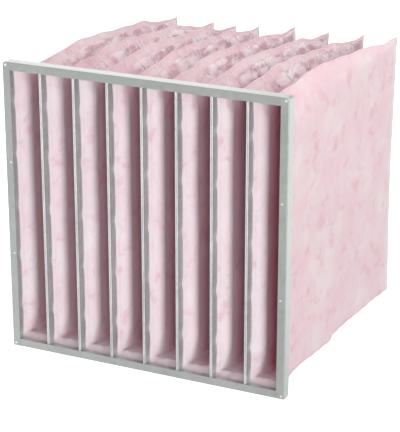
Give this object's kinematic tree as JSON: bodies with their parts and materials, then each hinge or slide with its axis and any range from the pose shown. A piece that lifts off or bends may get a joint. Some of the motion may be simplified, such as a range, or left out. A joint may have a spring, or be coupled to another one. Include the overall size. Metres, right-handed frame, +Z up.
{
  "type": "bag air filter",
  "caption": "Pocket air filter: folded steel header frame with narrow pocket mouths side by side, and soft wedge-shaped fibre bags behind them.",
  "frame": {"origin": "middle of the header's flat underside, half way through its depth", "axes": "+X to the right across the face, +Y from the face back along the pockets, +Z up"},
  "size_m": [0.592, 0.601, 0.5935],
  "materials": {
    "header_steel": "galvanised, satin",
    "strip_zinc": "galvanised, thin folded strip",
    "pink_fibre": "matt non-woven fibre",
    "rivet_steel": "plain"
  },
  "bodies": {
    "root": {"upper_header": "header_steel", "bottom_rail": "header_steel", "pocket_frame_1": "strip_zinc", "pocket_frame_2": "strip_zinc", "pocket_frame_3": "strip_zinc", "pocket_frame_4": "strip_zinc", "pocket_frame_5": "strip_zinc", "pocket_frame_6": "strip_zinc", "pocket_frame_7": "strip_zinc", "pocket_frame_8": "strip_zinc", "pocket_1": "pink_fibre", "pocket_2": "pink_fibre", "pocket_3": "pink_fibre", "pocket_4": "pink_fibre", "pocket_5": "pink_fibre", "pocket_6": "pink_fibre", "pocket_7": "pink_fibre", "pocket_8": "pink_fibre", "top_left_rivet": "rivet_steel", "top_right_rivet": "rivet_steel", "bottom_left_rivet": "rivet_steel", "bottom_right_rivet": "rivet_steel", "upper_left_pin": "rivet_steel", "upper_right_pin": "rivet_steel", "lower_left_pin": "rivet_steel", "lower_right_pin": "rivet_steel"}
  },
  "joints": []
}
